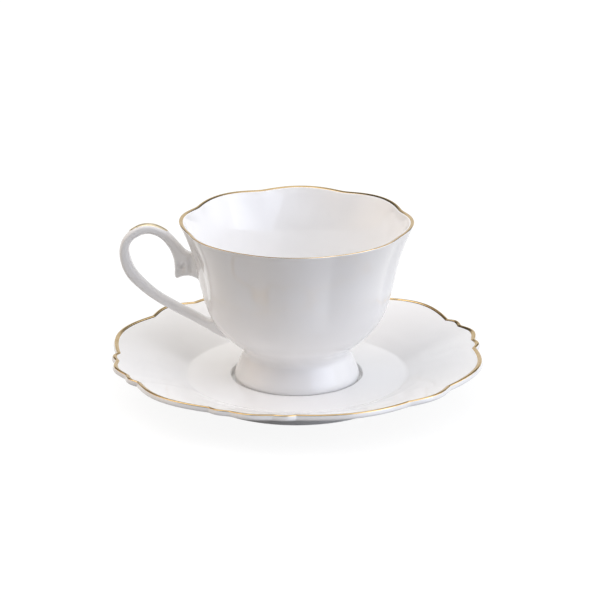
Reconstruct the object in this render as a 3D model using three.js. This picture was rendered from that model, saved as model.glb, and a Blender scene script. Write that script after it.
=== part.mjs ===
import * as THREE from 'three';

// Footed porcelain teacup standing in the well of its scalloped saucer, both with gilded edges.
// Millimetres, +Z up. The origin is the centre of the saucer's base, on the surface that it
// stands on, and the cup's handle points to -X.

// Cup bowl
const cupHeight = 64;
const rimRadius = 45.7;
const rimWall = 1.9;
const bowlWall = 2.3;
const bowlFloor = 3.6;
const fluteCount = 8;
const fluteDepth = 0.8;
const rimWave = 0.25;

// Cup foot
const footHeight = 10.6;
const footRadius = 25;
const waistRadius = 21.5;
const footBaseWidth = 3;
const footBevel = 0.4;
const footNeckWall = 3.2;

// Handle
const handleReach = 70.4;
const strapThickness = 3.8;
const strapWidth = 4.9;
const strapRound = 1.5;
const handleGap = 0.35;

// Gilding
const gildingRise = 0.4;
const handleLineWidth = 1;
const saucerBandWidth = 1.6;

// Saucer
const saucerRadius = 74.3;
const saucerHeight = 16.6;
const saucerLip = 2.1;
const saucerRingRadius = 41;
const saucerRingWidth = 2;
const saucerRingHeight = 2.8;
const saucerRingDraft = 1;
const saucerBase = 3.4;
const saucerWall = 2.5;
const wellRadius = 44.2;
const wellCurb = 6.6;
const wellCurbRise = 2.9;
const recessDepth = 0.7;
const recessClearance = 1.7;

// Scalloped edge of the saucer: how far its peaks and notches stand off the mean radius
const lobePeak = 1.5;
const sideLobePeak = 1.2;
const crestPeak = 1;
const knobPeak = -0.25;
const plainPeak = 1;
const deepNotch = -2.1;
const knobNotch = -1.1;
const plainNotch = -1.6;

// How far the saucer's pattern is turned from the handle's axis, in degrees
const saucerTurn = 49.5;

// The scalloped edge climbs with the flange where it stands off further
const edgeClimbShare = 0.2;

const glaze = { color: 0xf4f2ef, roughness: 0.12, metalness: 0 };
const gold = { color: 0xc69a4e, roughness: 0.22, metalness: 1 };

// Bowl's side from the foot up to the lip: [share of the way out, share of the way up]
const bowlSideShares = [
  [0, 0],
  [0.02, 0.028],
  [0.1, 0.07],
  [0.28, 0.14],
  [0.465, 0.236],
  [0.59, 0.35],
  [0.662, 0.485],
  [0.716, 0.62],
  [0.787, 0.752],
  [0.876, 0.866],
  [1, 1],
];
const bowlSideSteps = 15;

// The flutes fade in over this stretch of the bowl's height
const fluteFadeShares = [0.26, 0.62];

// Softness of the crease between two flutes: 0 is sharp, 1 a plain wave
const creaseSoftShare = 0.2;

// Foot's outer side from the base up to the waist: [share of the way in, share of the way up]
const footSideShares = [
  [0, 0.06],
  [0.13, 0.22],
  [0.43, 0.46],
  [0.7, 0.7],
  [0.95, 0.9],
  [1, 1],
];

// Handle, from its foot on the bowl's belly, round the loop, to its root under the lip. Each row
// is one place on the outer edge and the section that starts there:
// [share of the way from the bowl to the reach, share of the way up the bowl,
//  turn of the section in degrees, depth of the section in strap thicknesses, width in strap widths]
const handleRowShares = [
  [0, 0.07, 135, 3.15, 1.2],
  [0.045, 0.083, 130, 2.8, 1.16],
  [0.09, 0.098, 124, 2.3, 1.12],
  [0.15, 0.153, 103, 1.3, 1.05],
  [0.25, 0.222, 64, 0.98, 1],
  [0.42, 0.3, 58, 0.97, 1],
  [0.6, 0.378, 53, 1, 1],
  [0.77, 0.467, 47, 1.1, 1],
  [0.91, 0.56, 33, 1.18, 1],
  [0.985, 0.665, 14, 1.13, 1],
  [1, 0.765, 1, 1, 1],
  [0.95, 0.848, -19, 0.96, 1],
  [0.83, 0.912, -42, 0.97, 1],
  [0.64, 0.958, -70, 1, 1],
  [0.45, 0.962, -96, 1, 1],
  [0.3, 0.932, -114, 1, 1],
  [0.21, 0.887, -124, 1.05, 1],
  [0.15, 0.835, -125, 1.22, 1],
  [0.11, 0.799, -120, 1.68, 1.02],
  [0.09, 0.778, -113, 2.38, 0.94],
  [0.07, 0.767, -110, 2.95, 0.96],
  [0.05, 0.758, -106, 3.06, 1.1],
  [0.03, 0.752, -101, 2.78, 0.96],
  [0.015, 0.75, -93, 2.65, 1.08],
  [0, 0.75, -77, 3.1, 1.38],
];
const stationsPerRow = 2;
const endRingShares = [0.3, 0.65];
const gildedRows = [12, 15.5];

// Dome of a gilded edge over its land: [share across the land, share of the rise]
const gildingDomeShares = [
  [0, 0],
  [0.15, 0.7],
  [0.5, 1],
  [0.85, 0.7],
  [1, 0],
];

// Saucer's flange from the well's curb out to the rim: one bend point between its two ends
const flangeBendShares = [0.5, 0.62];
const flangeSteps = 5;

// Rounded lip of the saucer: [share of the lip's thickness inwards, share of it upwards]
const saucerLipShares = [
  [0.55, 0],
  [0.12, 0.22],
  [0, 0.55],
  [0.12, 1],
];

// Scalloped edge over a quarter of the saucer: [turn in degrees, stand-off, steps from the last]
const scallops = [
  [0, lobePeak, 0],
  [16, deepNotch, 4],
  [19.6, knobPeak, 2],
  [23.3, knobNotch, 2],
  [30, crestPeak, 3],
  [36.7, knobNotch, 3],
  [40.4, knobPeak, 2],
  [44, deepNotch, 2],
  [62.3, sideLobePeak, 5],
  [80.6, plainNotch, 5],
  [90, plainPeak, 3],
];
const notchSoftShare = 0.35;

const bowlSegments = 64;
const footSegments = 48;
const cornerSteps = 2;
const quarterTurn = Math.PI / 2;
const halfTurn = Math.PI;
const fullTurn = 2 * Math.PI;
const quarterDegrees = 90;
const halfDegrees = 180;

const lerp = THREE.MathUtils.lerp;
const radians = THREE.MathUtils.degToRad;
const point2 = (x, y) => new THREE.Vector2(x, y);

// Turns the faces outwards if they wind the wrong way round.
function windOutwards(positions, indices) {
  const corner = (index) => new THREE.Vector3().fromArray(positions, 3 * index);
  let volume = 0;
  for (let i = 0; i < indices.length; i += 3) {
    const [a, b, c] = [corner(indices[i]), corner(indices[i + 1]), corner(indices[i + 2])];
    volume += a.dot(b.cross(c));
  }
  return volume < 0 ? indices.reverse() : indices;
}

// Skins a row of rings that all have the same number of points. A pole closes an end of the
// row, and a looped row joins its last ring to its first.
function skin(rings, { startPole = null, endPole = null, looped = false } = {}) {
  const positions = [];
  const indices = [];
  const count = rings[0].length;
  const add = (p) => positions.push(p.x, p.y, p.z);
  rings.forEach((ring) => ring.forEach(add));
  const rows = looped ? rings.length : rings.length - 1;
  for (let row = 0; row < rows; row++) {
    const here = row * count;
    const next = ((row + 1) % rings.length) * count;
    for (let i = 0; i < count; i++) {
      const j = (i + 1) % count;
      indices.push(here + i, here + j, next + j, here + i, next + j, next + i);
    }
  }
  const close = (pole, first, forwards) => {
    const centre = positions.length / 3;
    add(pole);
    for (let i = 0; i < count; i++) {
      const j = (i + 1) % count;
      indices.push(centre, first + (forwards ? i : j), first + (forwards ? j : i));
    }
  };
  if (startPole) close(startPole, 0, false);
  if (endPole) close(endPole, (rings.length - 1) * count, true);
  const geometry = new THREE.BufferGeometry();
  geometry.setAttribute('position', new THREE.Float32BufferAttribute(positions, 3));
  geometry.setIndex(windOutwards(positions, indices));
  geometry.computeVertexNormals();
  return geometry;
}

// A ring about the axis whose radius and height follow the turn.
function ringAt(turns, radiusAt, heightAt) {
  return turns.map((turn) => {
    const radius = radiusAt(turn);
    return new THREE.Vector3(radius * Math.cos(turn), radius * Math.sin(turn), heightAt(turn));
  });
}

const evenTurns = (count) => Array.from({ length: count }, (_, i) => (i / count) * fullTurn);
const onAxis = (height) => new THREE.Vector3(0, 0, height);

function namedMesh(name, geometry, finish) {
  const mesh = new THREE.Mesh(geometry, new THREE.MeshStandardMaterial(finish));
  mesh.name = name;
  return mesh;
}

// Bowl profile: x is the mean radius and y the height above the cup's base.
const bowlDepth = cupHeight - footHeight;
const bowlSide = new THREE.SplineCurve(
  bowlSideShares.map(([out, up]) =>
    point2(lerp(waistRadius, rimRadius, out), footHeight + up * bowlDepth)),
).getPoints(bowlSideSteps);

// Wall thickness, easing from the body's wall to the lip's over the top half of the bowl.
function wallAt(height) {
  const share = THREE.MathUtils.smoothstep(height, footHeight + bowlDepth / 2, cupHeight);
  return lerp(bowlWall, rimWall, share);
}

// The side moved inwards, square to itself, by the wall.
function insideOf(side) {
  return side.map((p, i) => {
    const [before, after] = [side[Math.max(i - 1, 0)], side[Math.min(i + 1, side.length - 1)]];
    const along = after.clone().sub(before).normalize();
    return point2(p.x - along.y * wallAt(p.y), p.y + along.x * wallAt(p.y));
  });
}

// Depth of the flutes at a height: none round the base, full under the lip.
function fluteAt(height) {
  const [start, full] = fluteFadeShares.map((share) => footHeight + share * bowlDepth);
  return fluteDepth * THREE.MathUtils.smoothstep(height, start, full);
}

// Stand-off of the flutes round the bowl: 1 on each broad crest, -1 in the narrow creases.
function fluteWave(turn) {
  const arch = Math.hypot(
    creaseSoftShare,
    Math.sqrt(1 - creaseSoftShare ** 2) * Math.cos(fluteCount * turn / 2),
  );
  return 2 * (arch - creaseSoftShare) / (1 - creaseSoftShare) - 1;
}

const flutedRadius = (radius, height) => (turn) => radius + fluteAt(height) * fluteWave(turn);

// The rim rises over each flute's crest and dips between them.
function wavedHeight(height) {
  const wave = rimWave * THREE.MathUtils.smoothstep(height, footHeight + bowlDepth / 2, cupHeight);
  return (turn) => height + wave * fluteWave(turn);
}

const bowlRing = (radius, height) =>
  ringAt(evenTurns(bowlSegments), flutedRadius(radius, height), wavedHeight(height));

// Mean outer radius of the bowl at a height above the cup's base.
function bowlRadiusAt(height) {
  const above = bowlSide.findIndex((p) => p.y >= height);
  if (above < 0) return rimRadius;
  if (above === 0) return waistRadius;
  const [low, high] = [bowlSide[above - 1], bowlSide[above]];
  return lerp(low.x, high.x, (height - low.y) / (high.y - low.y));
}

function makeBowl() {
  const floorHeight = footHeight + bowlFloor;
  const [lowest, highest] = [floorHeight + bowlWall, cupHeight - rimWall];
  const inside = insideOf(bowlSide).filter((p) => p.y > lowest && p.y < highest);
  const floorRadius = inside[0].x - bowlFloor - bowlWall;
  const profile = [
    ...bowlSide,
    point2(rimRadius - rimWall, cupHeight),
    ...inside.reverse(),
    point2(floorRadius, floorHeight),
  ];
  const rings = profile.map((p) => bowlRing(p.x, p.y));
  return skin(rings, { startPole: onAxis(footHeight), endPole: onAxis(floorHeight) });
}

// Lifts a ring of a gilded edge off its land by the dome's share of the rise.
const raised = (ring, rise) => ring.map((p) => p.setZ(p.z + rise * gildingRise));

// The gilding's first and last rings are the lip's own, so its underside lies on the lip.
function makeRimGilding() {
  const rings = gildingDomeShares.map(([across, rise]) =>
    raised(bowlRing(rimRadius - rimWall + across * rimWall, cupHeight), rise));
  return skin(rings, { looped: true });
}

// The foot is an open flared ring: the bowl's base closes it at the waist.
function makeFoot() {
  const outside = footSideShares.map(([inwards, up]) =>
    point2(lerp(footRadius, waistRadius, inwards), up * footHeight));
  const profile = [
    point2(footRadius - footBaseWidth, 0),
    point2(footRadius - footBevel, 0),
    ...outside,
    point2(waistRadius - footNeckWall, footHeight),
  ];
  return new THREE.LatheGeometry([...profile, profile[0]], footSegments).rotateX(quarterTurn);
}

// Outer and inner edge of the handle in its own plane, x out from the cup's axis.
function handleEdges() {
  const outer = [];
  const inner = [];
  for (const [out, up, turn, depth] of handleRowShares) {
    const height = footHeight + up * bowlDepth;
    const root = bowlRadiusAt(height) + fluteAt(height) + handleGap;
    const start = point2(lerp(root, handleReach, out), height);
    const inwards = point2(-Math.cos(radians(turn)), Math.sin(radians(turn)));
    outer.push(start);
    inner.push(start.clone().addScaledVector(inwards, depth * strapThickness));
  }
  return { outer: new THREE.SplineCurve(outer), inner: new THREE.SplineCurve(inner) };
}

// One section of the handle: where it stands, its half sizes and its two directions.
function handleStations() {
  const { outer, inner } = handleEdges();
  const widths = new THREE.SplineCurve(handleRowShares.map((row, i) => point2(i, row[4] * strapWidth)));
  const steps = (handleRowShares.length - 1) * stationsPerRow;
  return Array.from({ length: steps + 1 }, (_, i) => {
    const [a, b] = [outer.getPoint(i / steps), inner.getPoint(i / steps)];
    const middle = new THREE.Vector3(-(a.x + b.x) / 2, 0, (a.y + b.y) / 2);
    const outwards = new THREE.Vector3(b.x - a.x, 0, a.y - b.y);
    const halfDepth = outwards.length() / 2;
    const halfWidth = widths.getPoint(i / steps).y / 2;
    return { middle, outwards: outwards.normalize(), halfDepth, halfWidth };
  });
}

// Section of the strap: a rectangle with rounded corners whose outer face keeps one flat width.
function sectionPoints({ middle, outwards, halfDepth, halfWidth }) {
  const roundDepth = Math.min(strapRound, halfDepth);
  const flat = handleLineWidth / 2;
  const points = [];
  for (let corner = 0; corner < 4; corner++) {
    const depthSign = corner === 0 || corner === 3 ? 1 : -1;
    const widthSign = corner < 2 ? 1 : -1;
    for (let step = 0; step <= cornerSteps; step++) {
      const turn = (corner % 2 ? cornerSteps - step : step) / cornerSteps * quarterTurn;
      const depth = depthSign * (halfDepth - roundDepth + roundDepth * Math.cos(turn));
      const width = widthSign * (flat + (halfWidth - flat) * Math.sin(turn));
      points.push(middle.clone().addScaledVector(outwards, depth).setY(width));
    }
  }
  return points;
}

// Keeps a point of the handle off the bowl by the gap, moving it outwards along X.
function clearOfBowl(p) {
  const turn = Math.atan2(p.y, p.x);
  const clear = flutedRadius(bowlRadiusAt(p.z), p.z)(turn) + handleGap;
  if (Math.hypot(p.x, p.y) >= clear) return p;
  return p.setX(-Math.sqrt(clear * clear - p.y * p.y));
}

// The handle's ends follow the bowl, so each end face has rings inside its edge.
function makeHandle() {
  const stations = handleStations();
  const rings = stations.map((station) => sectionPoints(station).map(clearOfBowl));
  const [start, end] = [stations[0], stations[stations.length - 1]].map(({ middle }) => middle);
  const within = (ring, middle) => endRingShares.map((share) =>
    ring.map((p) => clearOfBowl(p.clone().lerp(middle, share))));
  const faces = [within(rings[0], start).reverse(), within(rings[rings.length - 1], end)];
  return skin([...faces[0], ...rings, ...faces[1]], {
    startPole: clearOfBowl(start.clone()),
    endPole: clearOfBowl(end.clone()),
  });
}

// A gold line on the flat of the handle's outer face, over the crown of the loop.
function makeHandleGilding() {
  const [first, last] = gildedRows.map((row) => Math.round(row * stationsPerRow));
  const flat = handleLineWidth / 2;
  const rings = handleStations().slice(first, last + 1).map(({ middle, outwards, halfDepth }) => {
    const at = (depth, width) => middle.clone().addScaledVector(outwards, depth).setY(width);
    const top = halfDepth + gildingRise;
    return [at(halfDepth, -flat), at(halfDepth, flat), at(top, flat), at(top, -flat)];
  });
  const centreOf = ([a, , c]) => a.clone().lerp(c, 1 / 2);
  return skin(rings, { startPole: centreOf(rings[0]), endPole: centreOf(rings[rings.length - 1]) });
}

// Heights and radii of the saucer that its pieces and the cup share.
const recessHeight = saucerRingHeight + saucerBase;
const recessRadius = footRadius + recessClearance;
const wellHeight = recessHeight + recessDepth;
const curbRadius = wellRadius + wellCurb;
const curbHeight = wellHeight + wellCurbRise;

// Stand-off of the scalloped edge at a turn from the saucer's mirror line, in degrees. Peaks are
// round, and the notches between them nearly sharp.
function standOff(degrees) {
  const folded = THREE.MathUtils.euclideanModulo(degrees, halfDegrees);
  const quarter = folded > quarterDegrees ? halfDegrees - folded : folded;
  const next = Math.max(1, scallops.findIndex(([turn]) => turn >= quarter));
  const [from, to] = [scallops[next - 1], scallops[next]];
  const [notch, peak] = from[1] < to[1] ? [from, to] : [to, from];
  const share = (quarter - notch[0]) / (peak[0] - notch[0]);
  const arch = 1 - (1 - share) ** 2;
  const wave = (1 - Math.cos(halfTurn * share)) / 2;
  return lerp(notch[1], peak[1], lerp(arch, wave, notchSoftShare));
}

// Turns at which the saucer is sampled: evenly within each stretch between peak and notch.
function saucerTurns() {
  const quarter = [];
  scallops.slice(1).forEach(([to, , steps], i) => {
    const from = scallops[i][0];
    for (let step = 0; step < steps; step++) quarter.push(lerp(from, to, step / steps));
  });
  const mirrored = quarter.slice(1).map((turn) => halfDegrees - turn).reverse();
  const half = [...quarter, quarterDegrees, ...mirrored];
  return [...half, ...half.map((turn) => turn + halfDegrees)].map(radians);
}

// Radius that is round at the curb and follows the scalloped edge at the rim.
const saucerRadiusAt = (radius) => (turn) => {
  const share = THREE.MathUtils.clamp((radius - curbRadius) / (saucerRadius - curbRadius), 0, 1);
  return radius + share * standOff(THREE.MathUtils.radToDeg(turn));
};

// The edge climbs a little where it stands off, as the flange's slope carries on.
function climbingHeight(radius, height) {
  const share = THREE.MathUtils.clamp((radius - curbRadius) / (saucerRadius - curbRadius), 0, 1);
  return (turn) => height + share * edgeClimbShare * standOff(THREE.MathUtils.radToDeg(turn));
}

const saucerRing = (radius, height) =>
  ringAt(saucerTurns(), saucerRadiusAt(radius), climbingHeight(radius, height));

// Upper face of the flange from the curb to the land of the gilding.
function flangePoints() {
  const landRadius = saucerRadius - saucerBandWidth;
  const bend = point2(
    lerp(curbRadius, landRadius, flangeBendShares[0]),
    lerp(curbHeight, saucerHeight, flangeBendShares[1]),
  );
  const curve = new THREE.QuadraticBezierCurve(
    point2(curbRadius, curbHeight), bend, point2(landRadius, saucerHeight));
  return curve.getPoints(flangeSteps);
}

function saucerProfile() {
  const flange = flangePoints();
  const lipBottom = saucerHeight - saucerLip;
  const underside = flange
    .filter((p) => p.x < saucerRadius - saucerLip - saucerBandWidth)
    .map((p) => point2(p.x, p.y - saucerWall));
  const ringInside = saucerRingRadius - saucerRingWidth;
  return [
    point2(ringInside - saucerRingDraft, saucerRingHeight),
    point2(ringInside, 0),
    point2(saucerRingRadius, 0),
    point2(saucerRingRadius + saucerRingDraft, saucerRingHeight),
    ...underside,
    ...saucerLipShares.map(([inwards, up]) =>
      point2(saucerRadius - inwards * saucerLip, lipBottom + up * saucerLip)),
    ...flange.reverse(),
    point2(wellRadius, wellHeight),
    point2(recessRadius, wellHeight),
    point2(recessRadius, recessHeight),
  ];
}

function makeSaucer() {
  const rings = saucerProfile().map((p) => saucerRing(p.x, p.y));
  return skin(rings, { startPole: onAxis(saucerRingHeight), endPole: onAxis(recessHeight) });
}

function makeSaucerGilding() {
  const landOuter = saucerRadius - saucerLipShares[saucerLipShares.length - 1][0] * saucerLip;
  const landInner = saucerRadius - saucerBandWidth;
  const rings = gildingDomeShares.map(([across, rise]) =>
    raised(saucerRing(lerp(landInner, landOuter, across), saucerHeight), rise));
  return skin(rings, { looped: true });
}

// The cup stands in the recess of the saucer's well.
const cup = new THREE.Group();
cup.position.z = recessHeight;
cup.add(
  namedMesh('cup_bowl', makeBowl(), glaze),
  namedMesh('cup_foot', makeFoot(), glaze),
  namedMesh('cup_handle', makeHandle(), glaze),
  namedMesh('cup_rim_gilding', makeRimGilding(), gold),
  namedMesh('handle_gilding', makeHandleGilding(), gold),
);

const saucer = new THREE.Group();
saucer.rotation.z = radians(saucerTurn);
saucer.add(
  namedMesh('saucer', makeSaucer(), glaze),
  namedMesh('saucer_rim_gilding', makeSaucerGilding(), gold),
);

const teacup = new THREE.Group();
teacup.add(saucer, cup);

export default teacup;
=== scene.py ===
"""Footed porcelain teacup on its scalloped saucer, both with gilded edges."""

import bpy
import numpy as np
from mathutils import Matrix, Vector


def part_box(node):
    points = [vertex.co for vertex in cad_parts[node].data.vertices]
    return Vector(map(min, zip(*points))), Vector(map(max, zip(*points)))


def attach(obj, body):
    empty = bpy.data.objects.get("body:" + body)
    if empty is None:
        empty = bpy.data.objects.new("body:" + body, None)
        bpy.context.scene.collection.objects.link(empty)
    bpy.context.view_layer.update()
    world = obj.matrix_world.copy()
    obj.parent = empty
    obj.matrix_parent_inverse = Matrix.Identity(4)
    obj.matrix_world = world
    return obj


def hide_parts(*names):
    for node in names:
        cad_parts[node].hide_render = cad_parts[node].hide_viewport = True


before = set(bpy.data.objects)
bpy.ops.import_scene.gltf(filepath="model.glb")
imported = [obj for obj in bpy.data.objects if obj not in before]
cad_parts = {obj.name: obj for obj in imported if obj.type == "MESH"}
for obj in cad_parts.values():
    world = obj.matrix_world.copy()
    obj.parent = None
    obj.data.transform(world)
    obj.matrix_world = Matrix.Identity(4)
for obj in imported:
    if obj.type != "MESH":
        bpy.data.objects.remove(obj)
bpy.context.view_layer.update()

MM = 0.001

# Sizes of the cup: the foot, the bowl's lip and the handle's reach come from the frame
FOOT_LOW, FOOT_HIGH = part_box("cup_foot")
BOWL_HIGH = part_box("cup_bowl")[1]
HANDLE_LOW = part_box("cup_handle")[0]

FLUTE_DEPTH = 0.8 * MM
FLUTE_COUNT = 8
INNER_FLUTE_SHARE = 0.2
RIM_WAVE = 0.25 * MM
RIM_RADIUS = BOWL_HIGH.x - FLUTE_DEPTH
RIM_HEIGHT = BOWL_HIGH.z - RIM_WAVE
RIM_WALL = 1.9 * MM
LIP_DEPTH = 14 * MM
BOWL_WALL = 2.3 * MM
BOWL_BASE = FOOT_HIGH.z
BOWL_DEPTH = RIM_HEIGHT - BOWL_BASE
BOWL_FLOOR_WALL = 3.6 * MM
BOWL_FLOOR = BOWL_BASE + BOWL_FLOOR_WALL
BOWL_FLOOR_ROUND = 5 * MM
CUP_BASE = FOOT_LOW.z
FOOT_HEIGHT = FOOT_HIGH.z - FOOT_LOW.z
FOOT_RADIUS = FOOT_HIGH.x
WAIST_RADIUS = 21.5 * MM
FOOT_BASE_WIDTH = 3 * MM
FOOT_NECK_WALL = 3.2 * MM
FOOT_HOLLOW_SHARE = 0.55
FOOT_BEVEL = 0.4 * MM
FOOT_EDGE_ROUND = 1 * MM
HANDLE_REACH = -HANDLE_LOW.x
STRAP_THICKNESS = 3.8 * MM
STRAP_WIDTH = 4.9 * MM
STRAP_ROUND = 1.5 * MM
STRAP_FLAT = 1 * MM
HANDLE_GAP = 0.35 * MM
HANDLE_BURY = 1.1 * MM
HANDLE_BURY_SHARE = 0.03
SEAM_FILLET = 0.5 * MM

# Sizes of the saucer
SAUCER_RADIUS = 74.3 * MM
SAUCER_HEIGHT = 16.6 * MM
SAUCER_LIP = 2.1 * MM
SAUCER_WALL = 2.5 * MM
SAUCER_TURN = 49.5
EDGE_CLIMB_SHARE = 0.2
RING_RADIUS = 41 * MM
RING_WIDTH = 2 * MM
RING_HEIGHT = 2.8 * MM
RING_DRAFT = 1 * MM
RING_EDGE_ROUND = 0.7 * MM
RING_TOP_ROUND = 1.2 * MM
RECESS_DEPTH = 0.7 * MM
RECESS_CLEARANCE = 1.7 * MM
WELL_RADIUS = 44.2 * MM
WELL_ROUND = 1 * MM
WELL_CURB = 6.6 * MM
WELL_CURB_RISE = 2.9 * MM
CURB_ROUND = 1.5 * MM

# Groove in the recess, round the standing foot: how far it reaches past the foot at its
# bottom and at its top
GROOVE_DEPTH = 1.4 * MM
GROOVE_BOTTOM_REACH = 1.05 * MM
GROOVE_TOP_REACH = 1.35 * MM
GROOVE_ROUND = 0.3 * MM
GROOVE_TOP_ROUND = 0.45 * MM

# Gilding: starts and wavers are shares of the land's length, shapes are exponents, and the
# raised bead under the handle's line fades over a share of a handle row
GILDING_RISE = 0.4 * MM
GILT_FILM = 0.07 * MM
RIM_GILT_START = 0.22
RIM_GILT_WAVER = 0.05
RIM_GILT_INSET = 0.06 * MM
SAUCER_BAND_WIDTH = 1.6 * MM
SAUCER_GILT_INSET = 0.75 * MM
SAUCER_GILT_WAVER = 0.07
BAND_EDGE_SHAPE = 0.35
HANDLE_LINE_WIDTH = 3.1 * MM
HANDLE_LINE_EDGE_SHAPE = 0.5
HANDLE_LINE_END_SHAPE = 0.2
HANDLE_LINE_END_SHARE = 0.25
BEAD_RISE = 0.3 * MM
BEAD_HALF_WIDTH = 2.2 * MM
BEAD_FADE_ROWS = 0.22

# Uneven edge of a line laid by hand: share, waves round the edge and phase of each wave
WAVER = [(0.5, 3, 1), (0.3, 7, 2), (0.2, 17, 0)]

# Outlines of the part's source, as shares of the sizes above
BOWL_SIDE_SHARES = [
    (0, 0), (0.02, 0.028), (0.1, 0.07), (0.28, 0.14), (0.465, 0.236), (0.59, 0.35),
    (0.662, 0.485), (0.716, 0.62), (0.787, 0.752), (0.876, 0.866), (1, 1),
]
FLUTE_FADE_SHARES = (0.26, 0.62)
CREASE_SOFT_SHARE = 0.2
FOOT_SIDE_SHARES = [(0, 0.06), (0.13, 0.22), (0.43, 0.46), (0.7, 0.7), (0.95, 0.9), (1, 1)]
GILDING_DOME_SHARES = [(0, 0), (0.15, 0.7), (0.5, 1), (0.85, 0.7), (1, 0)]
FLANGE_BEND_SHARES = (0.5, 0.62)

# Finer than the source: the cup's lip leans inwards, and the saucer's edge is rounded
CUP_LIP_SHARES = [(0, -0.3), (0.25, 0.15), (0.55, 0.66), (0.8, 1), (0.94, 0.8), (1, 0)]
SAUCER_LIP_SHARES = [(0.55, 0), (0.13, 0.18), (0, 0.46), (0.2, 1)]

# Handle rows: out, up, turn in degrees, depth in strap thicknesses, width in strap widths.
# The rows of the spur, from the 18th on, are finer than the source.
HANDLE_ROW_SHARES = [
    (0, 0.07, 135, 3.15, 1.2), (0.045, 0.083, 130, 2.8, 1.16), (0.09, 0.098, 124, 2.3, 1.12),
    (0.15, 0.153, 103, 1.3, 1.05), (0.25, 0.222, 64, 0.98, 1), (0.42, 0.3, 58, 0.97, 1),
    (0.6, 0.378, 53, 1, 1), (0.77, 0.467, 47, 1.1, 1), (0.91, 0.56, 33, 1.18, 1),
    (0.985, 0.665, 14, 1.13, 1), (1, 0.765, 1, 1, 1), (0.95, 0.848, -19, 0.96, 1),
    (0.83, 0.912, -42, 0.97, 1), (0.64, 0.958, -70, 1, 1), (0.45, 0.962, -96, 1, 1),
    (0.3, 0.932, -114, 1, 1), (0.21, 0.887, -124, 1.05, 1), (0.15, 0.835, -125, 1.22, 1),
    (0.11, 0.799, -120, 1.68, 1.02), (0.09, 0.778, -115, 2.37, 1.04),
    (0.07, 0.767, -114, 2.95, 1.06), (0.05, 0.758, -112, 3.1, 1.08),
    (0.03, 0.752, -105, 2.66, 1.1), (0.015, 0.75, -93, 2.52, 1.16), (0, 0.75, -77, 3.1, 1.3),
]
GILDED_ROWS = (12, 15.5)

# Hollows pressed into both flanks of the spur: out from the axis, height, half size, depth
SPUR_HOLLOWS = [
    (45.7 * MM, 51.4 * MM, 1 * MM, 1.2 * MM, 1.5 * MM),
    (42 * MM, 53 * MM, 0.8 * MM, 2.8 * MM, 1.1 * MM),
]

# Scalloped edge over a quarter of the saucer: turn in degrees and stand-off
LOBE_PEAK = 1.5 * MM
SIDE_LOBE_PEAK = 1.2 * MM
CREST_PEAK = 1 * MM
KNOB_PEAK = -0.25 * MM
PLAIN_PEAK = 1 * MM
DEEP_NOTCH = -2.1 * MM
KNOB_NOTCH = -1.1 * MM
PLAIN_NOTCH = -1.6 * MM
SCALLOPS = [
    (0, LOBE_PEAK), (16, DEEP_NOTCH), (19.6, KNOB_PEAK), (23.3, KNOB_NOTCH), (30, CREST_PEAK),
    (36.7, KNOB_NOTCH), (40.4, KNOB_PEAK), (44, DEEP_NOTCH), (62.3, SIDE_LOBE_PEAK),
    (80.6, PLAIN_NOTCH), (90, PLAIN_PEAK),
]
NOTCH_SOFT_SHARE = 0.35

# Fineness of the meshes
BOWL_SEGMENTS = 384
BOWL_SIDE_ROWS = 90
BOWL_FLOOR_STEPS = 12
FOOT_SEGMENTS = 256
FOOT_SIDE_ROWS = 50
FOOT_HOLLOW_ROWS = 20
FOOT_EDGE_STEPS = 8
STATIONS_PER_ROW = 12
SECTION_CORNER_STEPS = 9
SECTION_FACE_STEPS = 16
SECTION_WALL_STEPS = 8
HANDLE_LINE_POINTS = 9
SAUCER_SEGMENTS = 720
FLANGE_ROWS = 12
CURB_END_ROW = 3
SAUCER_LIP_ROWS = 16
SAUCER_LONGEST_STEP = 4 * MM
LAND_ROWS = 20
BAND_STEPS = 12
CORNER_STEPS = 6
SHARP_ANGLE = 40


def smoothstep(x, low, high):
    share = np.clip((x - low) / (high - low), 0, 1)
    return share * share * (3 - 2 * share)


def spline(points, count):
    """Count + 1 points of the uniform Catmull-Rom curve through the points."""
    points = np.asarray(points, float)
    last = len(points) - 1
    at = np.linspace(0, last, count + 1)
    index = np.minimum(at.astype(int), last)
    share = (at - index)[:, None]
    before, here = points[np.maximum(index - 1, 0)], points[index]
    after, beyond = points[np.minimum(index + 1, last)], points[np.minimum(index + 2, last)]
    slope_here, slope_after = (after - before) / 2, (beyond - here) / 2
    cubic = (2 * here - 2 * after + slope_here + slope_after) * share**3
    square = (3 * after - 3 * here - 2 * slope_here - slope_after) * share**2
    return cubic + square + slope_here * share + here


def rounded(corners, steps=CORNER_STEPS):
    """A profile whose corners (x, y, radius) are rounded by short curves."""
    points = []
    for i, (x, y, radius) in enumerate(corners):
        here = np.array([x, y])
        if radius == 0 or i in (0, len(corners) - 1):
            points.append(here)
            continue
        before, after = np.array(corners[i - 1][:2]), np.array(corners[i + 1][:2])
        to_before, to_after = before - here, after - here
        reach = min(radius, np.linalg.norm(to_before) / 2, np.linalg.norm(to_after) / 2)
        start = here + to_before / np.linalg.norm(to_before) * reach
        end = here + to_after / np.linalg.norm(to_after) * reach
        for t in np.linspace(0, 1, steps):
            points.append((1 - t) ** 2 * start + 2 * t * (1 - t) * here + t**2 * end)
    return np.array(points)


def finer(profile, longest):
    """The profile with its long stretches split evenly."""
    points = [profile[0]]
    for before, after in zip(profile, profile[1:]):
        pieces = max(1, int(np.ceil(np.linalg.norm(after - before) / longest)))
        points += [before + (after - before) * (i + 1) / pieces for i in range(pieces)]
    return np.array(points)


def offset(profile, distance):
    """The profile moved square to itself, to its left for a positive distance."""
    along = np.gradient(profile, axis=0)
    along /= np.linalg.norm(along, axis=1)[:, None]
    return profile + distance * np.column_stack([-along[:, 1], along[:, 0]])


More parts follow.
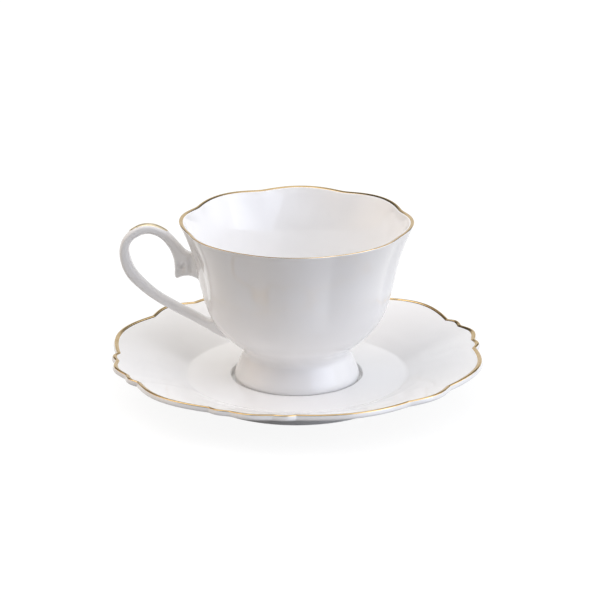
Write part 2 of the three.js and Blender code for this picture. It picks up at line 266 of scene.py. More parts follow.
def even_turns(segments):
    """Angles of evenly spaced points round the axis."""
    return np.arange(segments) / segments * 2 * np.pi


def circle(radius, turns, height):
    """Points round the axis at a radius and height, each a number or one for each turn."""
    heights = np.broadcast_to(height, turns.shape)
    return np.column_stack([radius * np.cos(turns), radius * np.sin(turns), heights])


def skin(name, rings, start_pole=None, end_pole=None, looped=False):
    """A closed mesh over rings of equally many points, from pole to pole or looped."""
    rings = np.asarray(rings, float)
    rows, count = rings.shape[:2]
    vertices = [tuple(p) for p in rings.reshape(-1, 3)]
    faces = []
    for row in range(rows if looped else rows - 1):
        here, there = row * count, (row + 1) % rows * count
        for i in range(count):
            j = (i + 1) % count
            faces.append((here + i, here + j, there + j, there + i))
    if start_pole is not None:
        faces += [(len(vertices), (i + 1) % count, i) for i in range(count)]
        vertices.append(tuple(start_pole))
    if end_pole is not None:
        first = (rows - 1) * count
        faces += [(len(vertices), first + i, first + (i + 1) % count) for i in range(count)]
        vertices.append(tuple(end_pole))
    corners = np.array([[vertices[i] for i in face[:3]] for face in faces])
    volume = np.einsum("ij,ij->i", corners[:, 0], np.cross(corners[:, 1], corners[:, 2])).sum()
    if volume < 0:
        faces = [face[::-1] for face in faces]
    mesh = bpy.data.meshes.new(name)
    mesh.from_pydata(vertices, [], faces)
    mesh.polygons.foreach_set("use_smooth", [True] * len(faces))
    mesh.set_sharp_from_angle(angle=np.radians(SHARP_ANGLE))
    piece = bpy.data.objects.new(name, mesh)
    bpy.context.scene.collection.objects.link(piece)
    return piece


def capped(name, rings):
    """A skin that closes over the middles of its first and last rings."""
    return skin(name, rings, start_pole=np.mean(rings[0], axis=0),
                end_pole=np.mean(rings[-1], axis=0))


# Cup

def bowl_side():
    out, up = spline(BOWL_SIDE_SHARES, BOWL_SIDE_ROWS).T
    return np.column_stack([
        WAIST_RADIUS + out * (RIM_RADIUS - WAIST_RADIUS),
        BOWL_BASE + up * BOWL_DEPTH,
    ])


def flute_wave(turn):
    """Stand-off of the flutes: 1 on each broad crest, -1 in the narrow creases."""
    arch = np.hypot(
        CREASE_SOFT_SHARE,
        np.sqrt(1 - CREASE_SOFT_SHARE**2) * np.cos(FLUTE_COUNT * turn / 2),
    )
    return 2 * (arch - CREASE_SOFT_SHARE) / (1 - CREASE_SOFT_SHARE) - 1


BOWL_SIDE = bowl_side()
BOWL_TURNS = even_turns(BOWL_SEGMENTS)
BOWL_WAVE = flute_wave(BOWL_TURNS)


def flute_at(height):
    start, full = (BOWL_BASE + share * BOWL_DEPTH for share in FLUTE_FADE_SHARES)
    return FLUTE_DEPTH * smoothstep(height, start, full)


def waved(height):
    """Heights round the bowl: the crests rise towards the lip, and the creases sink."""
    full = RIM_WAVE * smoothstep(height, BOWL_BASE + BOWL_DEPTH / 2, RIM_HEIGHT)
    return height + full * BOWL_WAVE


def bowl_ring(radius, height):
    """Fluted ring at a radius and height, each a number or one for each turn."""
    return circle(radius + flute_at(height) * BOWL_WAVE, BOWL_TURNS, waved(height))


def inner_ring(radius, height):
    """Ring of the bowl's inside, where glaze has softened the flutes below the lip."""
    share = smoothstep(height, RIM_HEIGHT - LIP_DEPTH, RIM_HEIGHT)
    soft = INNER_FLUTE_SHARE * np.cos(FLUTE_COUNT * BOWL_TURNS)
    flutes = soft + (BOWL_WAVE - soft) * share
    return circle(radius + flute_at(height) * flutes, BOWL_TURNS, waved(height))


def bowl_radius(height, turn):
    """Outer radius of the fluted bowl."""
    mean = np.interp(height, BOWL_SIDE[:, 1], BOWL_SIDE[:, 0])
    return mean + flute_at(height) * flute_wave(turn)


def bowl_inside():
    """Profile of the bowl's inner wall, from the lip down."""
    wall = BOWL_WALL + (RIM_WALL - BOWL_WALL) * smoothstep(
        BOWL_SIDE[:, 1], BOWL_BASE + BOWL_DEPTH / 2, RIM_HEIGHT)
    inside = offset(BOWL_SIDE, wall[:, None])
    keep = (inside[:, 1] > BOWL_FLOOR + BOWL_WALL) & (inside[:, 1] < RIM_HEIGHT - RIM_WALL)
    return inside[keep][::-1]


def lip_dome(inner, outer, height, shares):
    """Rounded land of a gilded edge, from its inner to its outer radius."""
    across, rise = spline(shares, LAND_ROWS).T
    return np.column_stack([
        inner + across * (outer - inner),
        height + np.minimum(rise, 1) * (GILDING_RISE - GILT_FILM),
    ])


def cup_lip():
    """Land of the cup's lip, which leans towards the inside."""
    return lip_dome(RIM_RADIUS - RIM_WALL, RIM_RADIUS, RIM_HEIGHT, CUP_LIP_SHARES)


def cup_profile():
    """The bowl's profiles: outside and lip, then inside to the middle of the floor."""
    inside = bowl_inside()
    foot_of_wall = rounded([
        (*inside[-1], 0),
        (inside[-1][0] - BOWL_WALL, BOWL_FLOOR, BOWL_FLOOR_ROUND),
        (inside[-1][0] / 2, BOWL_FLOOR, 0),
    ], BOWL_FLOOR_STEPS)
    outside = np.vstack([BOWL_SIDE[:-1], cup_lip()[::-1]])
    return outside, np.vstack([inside, foot_of_wall[1:]])


def make_bowl():
    outside, inside = cup_profile()
    rings = [bowl_ring(r, z) for r, z in outside] + [inner_ring(r, z) for r, z in inside]
    return skin("bowl", rings, start_pole=(0, 0, BOWL_BASE), end_pole=(0, 0, inside[-1][1]))


def waver(turns):
    """Uneven edge of a line laid by hand, between -1 and 1."""
    return sum(share * np.sin(waves * turns + phase) for share, waves, phase in WAVER)


def band(name, profile, start, ring_at):
    """A thin gold layer on a land, from a wavering share of the profile's length to its end."""
    length = np.concatenate([[0], np.cumsum(np.linalg.norm(np.diff(profile, axis=0), axis=1))])
    length /= length[-1]
    shares = np.linspace(0, 1, BAND_STEPS + 1)
    rings = []
    for thickness, order in ((GILT_FILM, shares), (-GILT_FILM, shares[::-1])):
        moved = offset(profile, thickness)
        for share in order:
            at = start + (1 - start) * share
            full = np.sin(np.pi * share) ** BAND_EDGE_SHAPE if thickness > 0 else 1
            r, z = (
                np.interp(at, length, profile[:, i]) * (1 - full)
                + np.interp(at, length, moved[:, i]) * full
                for i in (0, 1)
            )
            rings.append(ring_at(r, z))
    return skin(name, rings, looped=True)


def make_rim_gilding():
    """Gold over the lip's land, short of its inner edge."""
    start = RIM_GILT_START + RIM_GILT_WAVER * waver(BOWL_TURNS)
    land = cup_lip()
    gilded = land[land[:, 0] <= RIM_RADIUS - RIM_GILT_INSET]
    return band("rim_gilding", gilded, start, bowl_ring)


def make_foot():
    inwards, up = spline(FOOT_SIDE_SHARES, FOOT_SIDE_ROWS).T
    outside = np.column_stack([
        FOOT_RADIUS - inwards * (FOOT_RADIUS - WAIST_RADIUS),
        CUP_BASE + up * FOOT_HEIGHT,
    ])
    outside = outside[outside[:, 1] > CUP_BASE + FOOT_EDGE_ROUND]
    hollow_radius = FOOT_RADIUS - FOOT_BASE_WIDTH
    base = rounded([
        (hollow_radius, CUP_BASE, 0),
        (FOOT_RADIUS, CUP_BASE, FOOT_EDGE_ROUND),
        (*outside[0], 0),
    ], FOOT_EDGE_STEPS)
    neck = WAIST_RADIUS - FOOT_NECK_WALL
    hollow = spline([
        (neck, FOOT_HIGH.z),
        ((neck + hollow_radius) / 2, CUP_BASE + FOOT_HEIGHT * FOOT_HOLLOW_SHARE),
        (hollow_radius, CUP_BASE + FOOT_BEVEL),
    ], FOOT_HOLLOW_ROWS)
    turns = even_turns(FOOT_SEGMENTS)
    profile = np.vstack([base, outside[1:], hollow])
    return skin("foot", [circle(r, turns, z) for r, z in profile], looped=True)


# Handle

def handle_stations():
    """Middle, outward direction and half sizes of the handle's sections."""
    outer, inner, widths = [], [], []
    for out, up, turn, depth, width in HANDLE_ROW_SHARES:
        height = BOWL_BASE + up * BOWL_DEPTH
        root = bowl_radius(height, np.pi) + HANDLE_GAP
        sunk = (HANDLE_GAP + HANDLE_BURY) * max(0, 1 - out / HANDLE_BURY_SHARE)
        x = root + (HANDLE_REACH - root) * out - sunk
        reach, angle = depth * STRAP_THICKNESS, np.radians(turn)
        outer.append((x, height))
        inner.append((x - reach * np.cos(angle), height + reach * np.sin(angle)))
        widths.append((0, width * STRAP_WIDTH / 2))
    steps = (len(HANDLE_ROW_SHARES) - 1) * STATIONS_PER_ROW
    outer, inner = spline(outer, steps), spline(inner, steps)
    widths = spline(widths, steps)[:, 1]
    middle = (outer + inner) / 2
    outwards = outer - inner
    half_depth = np.linalg.norm(outwards, axis=1) / 2
    return middle, outwards / (2 * half_depth[:, None]), half_depth, widths


def bead_rise(row, aside):
    """Rise of the bead under the gold line, which fades just past the line's ends."""
    start, end = GILDED_ROWS
    share = smoothstep(row, start - BEAD_FADE_ROWS, start) * (
        1 - smoothstep(row, end, end + BEAD_FADE_ROWS))
    return share * BEAD_RISE * np.exp(-((aside / (BEAD_HALF_WIDTH / 2)) ** 2) / 2)


def section(half_depth, half_width, row):
    """Outline of the strap: (depth, width) points and their outward normals."""
    round_depth = min(STRAP_ROUND, half_depth)
    flat = STRAP_FLAT / 2
    quarter = [(np.cos(t), np.sin(t)) for t in np.linspace(0, np.pi / 2, SECTION_CORNER_STEPS)]
    side = [(half_depth - round_depth + round_depth * c, flat + (half_width - flat) * s)
            for c, s in quarter]
    face = [(half_depth, flat * i / SECTION_FACE_STEPS) for i in range(SECTION_FACE_STEPS)]
    wall = [((half_depth - round_depth) * (1 - i / SECTION_WALL_STEPS), half_width)
            for i in range(1, SECTION_WALL_STEPS)]
    upper = face + side + wall
    right = upper + [(0, half_width)] + [(-d, w) for d, w in upper[::-1]]
    outline = np.array(right + [(d, -w) for d, w in right[-2:0:-1]])
    along = np.roll(outline, -1, axis=0) - np.roll(outline, 1, axis=0)
    normals = np.column_stack([along[:, 1], -along[:, 0]])
    normals /= np.linalg.norm(normals, axis=1)[:, None]
    outline[:, 0] += np.where(outline[:, 0] > 0, bead_rise(row, outline[:, 1]), 0)
    return outline, normals


def place(middle, outwards, outline):
    """Points of a section in space: the handle's plane is y = 0, and it stands out to -x."""
    x = middle[0] + outwards[0] * outline[:, 0]
    z = middle[1] + outwards[1] * outline[:, 0]
    return np.column_stack([-x, outline[:, 1], z])


def seam_flare(ring):
    """Swell of the handle where it comes close to the bowl's wall."""
    x, y, z = ring.T
    clear = np.hypot(x, y) - bowl_radius(z, np.arctan2(y, x))
    near = np.clip(1 - clear / SEAM_FILLET, 0, 1)
    return SEAM_FILLET * (1 - np.sqrt(1 - near**2))


def pressed(ring):
    """Sinks the flanks of the spur at its hollows."""
    x, y, z = ring.T
    sunk = 0
    for out, up, wide, high, depth in SPUR_HOLLOWS:
        sunk = sunk + depth * np.exp(-(((-x - out) / wide) ** 2 + ((z - up) / high) ** 2) / 2)
    flank = smoothstep(np.abs(y), STRAP_WIDTH / 4, STRAP_WIDTH / 2)
    return np.column_stack([x, y - np.sign(y) * flank * sunk, z])


def sunk_at_most(point):
    """Keeps a point of the handle from sinking through the bowl's wall."""
    x, y, z = point
    least = bowl_radius(z, np.arctan2(y, x)) - HANDLE_BURY
    if np.hypot(x, y) >= least:
        return point
    return np.array([-np.sqrt(max(least**2 - y**2, 0)), y, z])


def make_handle():
    middle, outwards, half_depth, half_width = handle_stations()
    rings = []
    for i in range(len(middle)):
        outline, normals = section(half_depth[i], half_width[i], i / STATIONS_PER_ROW)
        flare = seam_flare(place(middle[i], outwards[i], outline))
        ring = place(middle[i], outwards[i], outline + flare[:, None] * normals)
        rings.append([sunk_at_most(point) for point in pressed(ring)])
    return capped("handle", rings)


def make_handle_gilding():
    middle, outwards, half_depth, half_width = handle_stations()
    first, last = (round(row * STATIONS_PER_ROW) for row in GILDED_ROWS)
    across = np.linspace(-1, 1, HANDLE_LINE_POINTS)
    film = GILT_FILM * np.cos(across * np.pi / 2) ** HANDLE_LINE_EDGE_SHAPE
    flat = STRAP_FLAT / 2
    rings = []
    for i in range(first, last + 1):
        end = HANDLE_LINE_END_SHARE
        if first < i < last:
            end = np.sin(np.pi * (i - first) / (last - first)) ** HANDLE_LINE_END_SHAPE
        widths = across * HANDLE_LINE_WIDTH / 2 * end
        round_depth = min(STRAP_ROUND, half_depth[i])
        aside = np.maximum(np.abs(widths) - flat, 0) / (half_width[i] - flat)
        top = half_depth[i] - round_depth * (1 - np.sqrt(1 - aside**2))
        top = top + bead_rise(i / STATIONS_PER_ROW, widths)
        upper = np.column_stack([top + film, widths])
        lower = np.column_stack([top - GILT_FILM, widths])[::-1]
        rings.append(place(middle[i], outwards[i], np.vstack([upper, lower])))
    return capped("handle_line", rings)


# Saucer

RECESS_HEIGHT = CUP_BASE
RECESS_RADIUS = FOOT_RADIUS + RECESS_CLEARANCE
GROOVE_HEIGHT = RECESS_HEIGHT - GROOVE_DEPTH
WELL_HEIGHT = RECESS_HEIGHT + RECESS_DEPTH
CURB_RADIUS = WELL_RADIUS + WELL_CURB
CURB_HEIGHT = WELL_HEIGHT + WELL_CURB_RISE
LAND_RADIUS = SAUCER_RADIUS - SAUCER_BAND_WIDTH
SAUCER_TURNS = np.arange(SAUCER_SEGMENTS) / SAUCER_SEGMENTS * 360


def stand_off(degrees):
    """Stand-off of the scalloped edge: round peaks and nearly sharp notches between them."""
    folded = np.mod(degrees, 180)
    quarter = np.where(folded > 90, 180 - folded, folded)
    turns, values = np.array(SCALLOPS).T
    index = np.clip(np.searchsorted(turns, quarter), 1, len(turns) - 1)
    start, end = turns[index - 1], turns[index]
    low_first = values[index - 1] < values[index]
    share = np.where(low_first, quarter - start, end - quarter) / (end - start)
    arch = 1 - (1 - share) ** 2
    wave = (1 - np.cos(np.pi * share)) / 2
    notch = np.minimum(values[index - 1], values[index])
    peak = np.maximum(values[index - 1], values[index])
    return notch + (peak - notch) * (arch + (wave - arch) * NOTCH_SOFT_SHARE)


STAND_OFF = stand_off(SAUCER_TURNS)


def saucer_ring(radius, height):
    """A ring that is round inside the curb and follows the scalloped edge at the rim."""
    turns = np.radians(SAUCER_TURNS + SAUCER_TURN)
    share = np.clip((radius - CURB_RADIUS) / (SAUCER_RADIUS - CURB_RADIUS), 0, 1)
    return circle(radius + share * STAND_OFF, turns,
                  height + share * EDGE_CLIMB_SHARE * STAND_OFF)


def flange():
    """Upper face of the flange from the curb to the land of the gilding."""
    start, end = np.array([CURB_RADIUS, CURB_HEIGHT]), np.array([LAND_RADIUS, SAUCER_HEIGHT])
    bend = start + (end - start) * FLANGE_BEND_SHARES
    t = np.linspace(0, 1, FLANGE_ROWS + 1)[:, None]
    return (1 - t) ** 2 * start + 2 * t * (1 - t) * bend + t**2 * end


def saucer_land():
    outer = SAUCER_RADIUS - SAUCER_LIP_SHARES[-1][0] * SAUCER_LIP
    return lip_dome(LAND_RADIUS, outer, SAUCER_HEIGHT, GILDING_DOME_SHARES)


def saucer_profile():
    """The saucer's profile, from the middle of the recess over the edge to the underside."""
    top = rounded([
        (RECESS_RADIUS / 3, RECESS_HEIGHT, 0),
        (FOOT_RADIUS - FOOT_EDGE_ROUND, RECESS_HEIGHT, GROOVE_ROUND),
        (FOOT_RADIUS - FOOT_EDGE_ROUND / 2, GROOVE_HEIGHT, GROOVE_ROUND),
        (FOOT_RADIUS + GROOVE_BOTTOM_REACH, GROOVE_HEIGHT, GROOVE_ROUND),
        (FOOT_RADIUS + GROOVE_TOP_REACH, WELL_HEIGHT, GROOVE_TOP_ROUND),
        (WELL_RADIUS, WELL_HEIGHT, WELL_ROUND),
        (CURB_RADIUS, CURB_HEIGHT, CURB_ROUND),
        (*flange()[CURB_END_ROW], 0),
    ])
    lip_bottom = SAUCER_HEIGHT - SAUCER_LIP
    lip = spline([(SAUCER_RADIUS - inwards * SAUCER_LIP, lip_bottom + up * SAUCER_LIP)
                  for inwards, up in SAUCER_LIP_SHARES], SAUCER_LIP_ROWS)[::-1]
    underside = [(x, y - SAUCER_WALL) for x, y in flange()[::-1]
                 if x < SAUCER_RADIUS - SAUCER_LIP - SAUCER_BAND_WIDTH]
    ring_inside = RING_RADIUS - RING_WIDTH
    bottom = rounded([
        (*underside[-1], 0),
        (RING_RADIUS + RING_DRAFT, RING_HEIGHT, RING_TOP_ROUND),
        (RING_RADIUS, 0, RING_EDGE_ROUND),
        (ring_inside, 0, RING_EDGE_ROUND),
        (ring_inside - RING_DRAFT, RING_HEIGHT, RING_TOP_ROUND),
        (ring_inside / 2, RING_HEIGHT, 0),
    ])
    profile = np.vstack([top, flange()[CURB_END_ROW + 1:-1], saucer_land(), lip[1:],
                         underside, bottom[1:]])
    return finer(profile, SAUCER_LONGEST_STEP)


def make_saucer():
    return skin("saucer_dish", [saucer_ring(r, z) for r, z in saucer_profile()],
                start_pole=(0, 0, RECESS_HEIGHT), end_pole=(0, 0, RING_HEIGHT))


def make_saucer_gilding():
    inset = [p for p in finer(flange(), SAUCER_GILT_INSET / 4)
             if LAND_RADIUS - SAUCER_GILT_INSET < p[0] < LAND_RADIUS]
    start = SAUCER_GILT_WAVER * (1 + waver(np.radians(SAUCER_TURNS)))
    return band("saucer_gilding", np.vstack([inset, saucer_land()]), start, saucer_ring)


# Shader nodes

def math_node(nodes, links, operation, first, second=None):
    node = nodes.new("ShaderNodeMath")
    node.operation = operation
    for socket, value in zip(node.inputs, (first, second)):
        if isinstance(value, (int, float)):
            socket.default_value = value
        elif value is not None:
            links.new(value, socket)
    return node.outputs["Value"]


def scale_node(nodes, links, vector, scale):
    """A vector, given as a list or as a socket, times a factor."""
    node = nodes.new("ShaderNodeVectorMath")
    node.operation = "SCALE"
    if isinstance(vector, list):
        node.inputs[0].default_value = vector
    else:
        links.new(vector, node.inputs[0])
    links.new(scale, node.inputs["Scale"])
    return node.outputs["Vector"]


def add_node(nodes, links, first, second):
    node = nodes.new("ShaderNodeVectorMath")
    links.new(first, node.inputs[0])
    links.new(second, node.inputs[1])
    return node.outputs["Vector"]


def noise_node(nodes, links, coordinates, scale, detail=3):
    noise = nodes.new("ShaderNodeTexNoise")
    noise.inputs["Scale"].default_value = scale
    noise.inputs["Detail"].default_value = detail
    links.new(coordinates, noise.inputs["Vector"])
    return noise.outputs["Fac"]


def tone_node(nodes, links, factor, tones):
    """Colour between two tones, which lie at TONE_STOPS of the factor."""
    ramp = nodes.new("ShaderNodeValToRGB")
    for element, position, tone in zip(ramp.color_ramp.elements, TONE_STOPS, tones):
        element.position = position
        element.color = (*tone, 1)
    links.new(factor, ramp.inputs["Fac"])
    return ramp.outputs["Color"]


def range_node(nodes, links, factor, low, high):
    spread = nodes.new("ShaderNodeMapRange")
    spread.inputs["To Min"].default_value = low
    spread.inputs["To Max"].default_value = high
    links.new(factor, spread.inputs["Value"])
    return spread.outputs["Result"]


def fade_node(nodes, links, value, full, none):
    """1 at and before full, falling softly to 0 at none."""
    fade = nodes.new("ShaderNodeMapRange")
    fade.interpolation_type = "SMOOTHSTEP"
    fade.inputs["From Min"].default_value = none
    fade.inputs["From Max"].default_value = full
    links.new(value, fade.inputs["Value"])
    return fade.outputs["Result"]


def spot_node(nodes, links, coordinates, azimuth, elevation, full, reach):
    """1 within an angle of full around a direction, falling softly to 0 at its reach."""
    dot = nodes.new("ShaderNodeVectorMath")
    dot.operation = "DOT_PRODUCT"
    dot.inputs[1].default_value = direction(azimuth, elevation)
    links.new(coordinates, dot.inputs[0])
    return fade_node(nodes, links, dot.outputs["Value"], *np.cos(np.radians((full, reach))))


def bump_node(nodes, links, height, distance, normal=None):
    bump = nodes.new("ShaderNodeBump")
    bump.inputs["Distance"].default_value = distance
    bump.inputs["Strength"].default_value = 1
    links.new(height, bump.inputs["Height"])
    if normal is not None:
        links.new(normal, bump.inputs["Normal"])
    return bump.outputs["Normal"]


def ray_masks(nodes, links):
    """Masks of the camera's rays, and of those that glossy and clear surfaces send out."""
    path = nodes.new("ShaderNodeLightPath").outputs
    return path["Is Camera Ray"], math_node(
        nodes, links, "MAXIMUM", path["Is Glossy Ray"], path["Is Transmission Ray"])


def mix_surface(nodes, links, share, first, second, output):
    """The output's surface: a mix of two shaders, with a share of the second."""
    mix = nodes.new("ShaderNodeMixShader")
    links.new(share, mix.inputs["Fac"])
    links.new(first.outputs[0], mix.inputs[1])
    links.new(second.outputs[0], mix.inputs[2])
    links.new(mix.outputs[0], output.inputs["Surface"])


# Materials: tones run from low to high, gloss is a range of roughness, and noise scales are
# in waves per metre

TONE_STOPS = (0.3, 0.7)

GLAZE_TONES = [(0.905, 0.9, 0.898), (0.93, 0.928, 0.928)]
GLAZE_CLOUDS = 45
GLAZE_GLOSS = (0.025, 0.06)
GLAZE_GLOSS_CLOUDS = 160
GLAZE_WAVES, GLAZE_WAVE_HEIGHT = 60, 0.012 * MM
GLAZE_PEEL, GLAZE_PEEL_HEIGHT = 900, 0.002 * MM
GLAZE_IOR = 1.6

BARE_TONES = [(0.74, 0.71, 0.67), (0.82, 0.8, 0.77)]
BARE_GRAIN, BARE_GRAIN_HEIGHT = 2500, 0.02 * MM
BARE_ROUGHNESS = 0.7
BARE_TILT = -0.9  # faces that look down at least this steeply are bare

GOLD_TONES = [(0.65, 0.47, 0.24), (0.76, 0.565, 0.31)]
GOLD_GLOSS = (0.06, 0.13)
THIN_GOLD_TONES = [(0.78, 0.66, 0.45), (0.88, 0.76, 0.54)]
THIN_GOLD_GLOSS = (0.3, 0.4)
GOLD_CLOUDS = 260
GOLD_GLOSS_CLOUDS = 700
GOLD_BRUSHING, GOLD_BRUSH_HEIGHT = 3000, 0.006 * MM


def new_material(name):
    material = bpy.data.materials.new(name)
    material.use_nodes = True
    nodes, links = material.node_tree.nodes, material.node_tree.links
    where = nodes.new("ShaderNodeTexCoord").outputs["Object"]
    return material, nodes, links, nodes["Principled BSDF"], where


def glazed_porcelain():
    """White body under a clear glaze that lies in faint, long waves."""
    material, nodes, links, shader, where = new_material("glazed_porcelain")
    cloud = noise_node(nodes, links, where, GLAZE_CLOUDS)
    links.new(tone_node(nodes, links, cloud, GLAZE_TONES), shader.inputs["Base Color"])
    patches = noise_node(nodes, links, where, GLAZE_GLOSS_CLOUDS)
    links.new(range_node(nodes, links, patches, *GLAZE_GLOSS), shader.inputs["Roughness"])
    waves = noise_node(nodes, links, where, GLAZE_WAVES, detail=1)
    waves = bump_node(nodes, links, waves, GLAZE_WAVE_HEIGHT)
    peel = noise_node(nodes, links, where, GLAZE_PEEL, detail=2)
    peel = bump_node(nodes, links, peel, GLAZE_PEEL_HEIGHT, waves)
    links.new(peel, shader.inputs["Normal"])
    shader.inputs["IOR"].default_value = GLAZE_IOR
    return material


def bare_porcelain():
    """Unglazed, ground ring under a foot."""
    material, nodes, links, shader, where = new_material("bare_porcelain")
    grain = noise_node(nodes, links, where, BARE_GRAIN, detail=4)
    links.new(tone_node(nodes, links, grain, BARE_TONES), shader.inputs["Base Color"])
    links.new(bump_node(nodes, links, grain, BARE_GRAIN_HEIGHT), shader.inputs["Normal"])
    shader.inputs["Roughness"].default_value = BARE_ROUGHNESS
    return material


def fired_gold(name, tones, gloss):
    """Fired gold line, a little uneven in its tone and its gloss, and brushed."""
    material, nodes, links, shader, where = new_material(name)
    cloud = noise_node(nodes, links, where, GOLD_CLOUDS)
    links.new(tone_node(nodes, links, cloud, tones), shader.inputs["Base Color"])
    patches = noise_node(nodes, links, where, GOLD_GLOSS_CLOUDS)
    links.new(range_node(nodes, links, patches, *gloss), shader.inputs["Roughness"])
    brushed = noise_node(nodes, links, where, GOLD_BRUSHING, detail=2)
    links.new(bump_node(nodes, links, brushed, GOLD_BRUSH_HEIGHT), shader.inputs["Normal"])
    shader.inputs["Metallic"].default_value = 1
    return material


def finish(piece, body, nodes, material, bare=None, bare_below=0):
    """Dresses a piece, hides the parts of model.glb that it stands for and rides it on its
    body.
    """
    piece.data.materials.append(material)
    if bare is not None:
        piece.data.materials.append(bare)
        for face in piece.data.polygons:
            if face.center.z < bare_below and face.normal.z < BARE_TILT:
                face.material_index = 1
    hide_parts(*nodes)
    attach(piece, body)


def make_object():
    glaze, bare = glazed_porcelain(), bare_porcelain()
    gold = fired_gold("burnished_gold", GOLD_TONES, GOLD_GLOSS)
    thin_gold = fired_gold("thin_gold", THIN_GOLD_TONES, THIN_GOLD_GLOSS)
    finish(make_bowl(), "cup", ["cup_bowl"], glaze)
    finish(make_foot(), "cup", ["cup_foot"], glaze, bare, CUP_BASE + FOOT_BEVEL)
    finish(make_handle(), "cup", ["cup_handle"], glaze)
    finish(make_rim_gilding(), "cup", ["cup_rim_gilding"], gold)
    finish(make_handle_gilding(), "cup", ["handle_gilding"], thin_gold)
    finish(make_saucer(), "saucer", ["saucer"], glaze, bare, RING_HEIGHT / 4)
    finish(make_saucer_gilding(), "saucer", ["saucer_rim_gilding"], gold)


# Stage and light: directions are azimuth and elevation in degrees. The white backdrop lights
# nothing, as only the camera and mirrored rays see it.

FLOOR_SIZE = 6
FLOOR_TONE = (0.35, 0.345, 0.34)
FLOOR_SEEN_TONE = (0.15, 0.15, 0.15)
FLOOR_GLOW = 0.9
BACKDROP_AZIMUTH = 93.5
BACKDROP_SPREAD = (26, 42)
BACKDROP_TOP = (20, 30)
LAMP_DISTANCE = 1.6
LAMP_WATTS = 4  # of a lamp, for each square metre and unit of radiance
SOFTBOXES = [
    # name, direction, width and height in degrees, radiance, tint
    ("window", 327, 22, 46, 32, 0.76, (0.86, 0.95, 1.22)),
]
GLOWS = [
    # soft glow of the studio: direction, reach in degrees, radiance, tint
    (328, 17, 34, 0.36, (0.9, 0.96, 1.2)),
    (0, 12, 48, 1.22, (1.07, 1.08, 1.08)),
    (180, 12, 48, 0.27, (1.4, 0.95, 0.7)),
    (0, 42, 55, 0.3, (1, 0.95, 0.9)),
    (180, 42, 55, 0.6, (1.12, 1, 0.83)),
    (90, 42, 55, 0.7, (0.99, 1.02, 1.02)),
    (315, 60, 42, 0.92, (1, 1.03, 1.1)),
    (180, 60, 42, 0.93, (1.05, 1.06, 1.07)),
    (0, 90, 62, 0.35, (0.9, 0.85, 0.9)),
]
ROOM_GLEAM = 0.08  # what mirrored rays see where no light is
GAPS = [
    # dark corner between two lights, for mirrored rays: direction, full and whole reach
    (62, 35, 10, 22),
    (127, 38, 15, 27),
]


def direction(azimuth, elevation):
    a, e = np.radians(azimuth), np.radians(elevation)
    return Vector((np.cos(a) * np.cos(e), np.sin(a) * np.cos(e), np.sin(e)))


def make_softboxes():
    for name, azimuth, elevation, wide, high, radiance, tint in SOFTBOXES:
        light = bpy.data.lights.new("softbox_" + name, "AREA")
        light.shape = "RECTANGLE"
        light.size = 2 * LAMP_DISTANCE * np.tan(np.radians(wide / 2))
        light.size_y = 2 * LAMP_DISTANCE * np.tan(np.radians(high / 2))
        light.energy = LAMP_WATTS * radiance * light.size * light.size_y
        light.color = tint
        lamp = bpy.data.objects.new("softbox_" + name, light)
        towards = direction(azimuth, elevation)
        lamp.location = towards * LAMP_DISTANCE
        lamp.rotation_euler = towards.to_track_quat("Z", "Y").to_euler()
        lamp.visible_camera = False
        bpy.context.scene.collection.objects.link(lamp)


def make_floor():
    """Pale floor: it takes the object's light and shadow, and shows as the white ground."""
    half = FLOOR_SIZE / 2
    mesh = bpy.data.meshes.new("floor")
    mesh.from_pydata([(-half, -half, 0), (half, -half, 0), (half, half, 0), (-half, half, 0)],
                     [], [(0, 1, 2, 3)])
    floor = bpy.data.objects.new("floor", mesh)
    bpy.context.scene.collection.objects.link(floor)
    material = bpy.data.materials.new("white_floor")
    material.use_nodes = True
    nodes, links = material.node_tree.nodes, material.node_tree.links
    nodes.clear()
    lit = nodes.new("ShaderNodeBsdfDiffuse")
    lit.inputs["Color"].default_value = (*FLOOR_TONE, 1)
    dim = nodes.new("ShaderNodeBsdfDiffuse")
    dim.inputs["Color"].default_value = (*FLOOR_SEEN_TONE, 1)
    glow = nodes.new("ShaderNodeEmission")
    glow.inputs["Strength"].default_value = FLOOR_GLOW
    seen = nodes.new("ShaderNodeAddShader")
    links.new(dim.outputs[0], seen.inputs[0])
    links.new(glow.outputs[0], seen.inputs[1])
    shown = math_node(nodes, links, "MAXIMUM", *ray_masks(nodes, links))
    mix_surface(nodes, links, shown, lit, seen, nodes.new("ShaderNodeOutputMaterial"))
    mesh.materials.append(material)


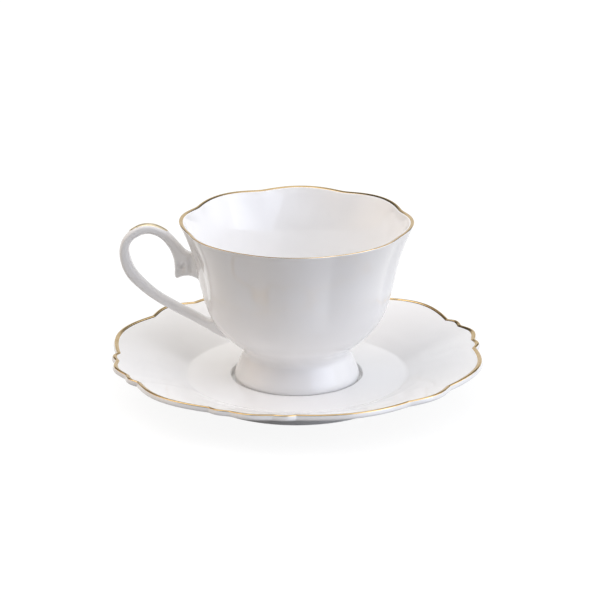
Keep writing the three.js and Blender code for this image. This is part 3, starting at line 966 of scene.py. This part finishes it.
def make_world():
    """Softly glowing studio with a white backdrop, which is all that the camera sees."""
    world = bpy.data.worlds.new("studio")
    bpy.context.scene.world = world
    world.use_nodes = True
    nodes, links = world.node_tree.nodes, world.node_tree.links
    nodes.clear()
    coordinates = nodes.new("ShaderNodeTexCoord").outputs["Generated"]
    split = nodes.new("ShaderNodeSeparateXYZ")
    links.new(coordinates, split.inputs[0])
    azimuth = math_node(nodes, links, "ARCTAN2", split.outputs["Y"], split.outputs["X"])
    beside = math_node(nodes, links, "SUBTRACT", azimuth, float(np.radians(BACKDROP_AZIMUTH)))
    beside = math_node(nodes, links, "ABSOLUTE", beside)
    across = fade_node(nodes, links, beside, *np.radians(BACKDROP_SPREAD))
    below = fade_node(nodes, links, split.outputs["Z"], *np.sin(np.radians(BACKDROP_TOP)))
    backdrop = math_node(nodes, links, "MULTIPLY", across, below)
    seen, mirrored = ray_masks(nodes, links)
    shown = math_node(nodes, links, "MULTIPLY", mirrored, backdrop)
    shown = math_node(nodes, links, "MAXIMUM", shown, seen)
    light = None
    for glow_azimuth, glow_elevation, reach, radiance, tint in GLOWS:
        share = spot_node(nodes, links, coordinates, glow_azimuth, glow_elevation, 0, reach)
        colour = scale_node(nodes, links, [radiance * channel for channel in tint], share)
        light = colour if light is None else add_node(nodes, links, light, colour)
    for gap in GAPS:
        dark = spot_node(nodes, links, coordinates, *gap)
        dark = math_node(nodes, links, "MULTIPLY", dark, mirrored)
        light = scale_node(nodes, links, light, math_node(nodes, links, "SUBTRACT", 1, dark))
    gleam = scale_node(nodes, links, [ROOM_GLEAM] * 3, mirrored)
    light = add_node(nodes, links, light, gleam)
    studio = nodes.new("ShaderNodeBackground")
    links.new(light, studio.inputs["Color"])
    white = nodes.new("ShaderNodeBackground")
    white.inputs["Strength"].default_value = 1
    mix_surface(nodes, links, shown, studio, white, nodes.new("ShaderNodeOutputWorld"))


# The photograph's camera: angles in degrees, lens and sensor in millimetres
CAMERA_AZIMUTH = -86.5
CAMERA_ELEVATION = 19.4
CAMERA_DISTANCE = 1326 * MM
CAMERA_ROLL = -0.15
CAMERA_AIM = Vector((1.32, 0.08, 37.6)) * MM
CAMERA_LENS = 199.9
CAMERA_SENSOR = 36


def make_camera():
    data = bpy.data.cameras.new("camera")
    data.lens = CAMERA_LENS
    data.sensor_width = CAMERA_SENSOR
    back = direction(CAMERA_AZIMUTH, CAMERA_ELEVATION)
    right = Vector((0, 0, 1)).cross(back).normalized()
    up = back.cross(right)
    roll = np.radians(CAMERA_ROLL)
    rolled_right = right * np.cos(roll) + up * np.sin(roll)
    rolled_up = up * np.cos(roll) - right * np.sin(roll)
    camera = bpy.data.objects.new("camera", data)
    turn = Matrix((rolled_right, rolled_up, back)).transposed().to_4x4()
    camera.matrix_world = Matrix.Translation(CAMERA_AIM + back * CAMERA_DISTANCE) @ turn
    bpy.context.scene.collection.objects.link(camera)
    bpy.context.scene.camera = camera


make_camera()
make_object()
make_floor()
make_world()
make_softboxes()
bpy.context.scene.view_settings.view_transform = "Standard"

bpy.context.view_layer.update()
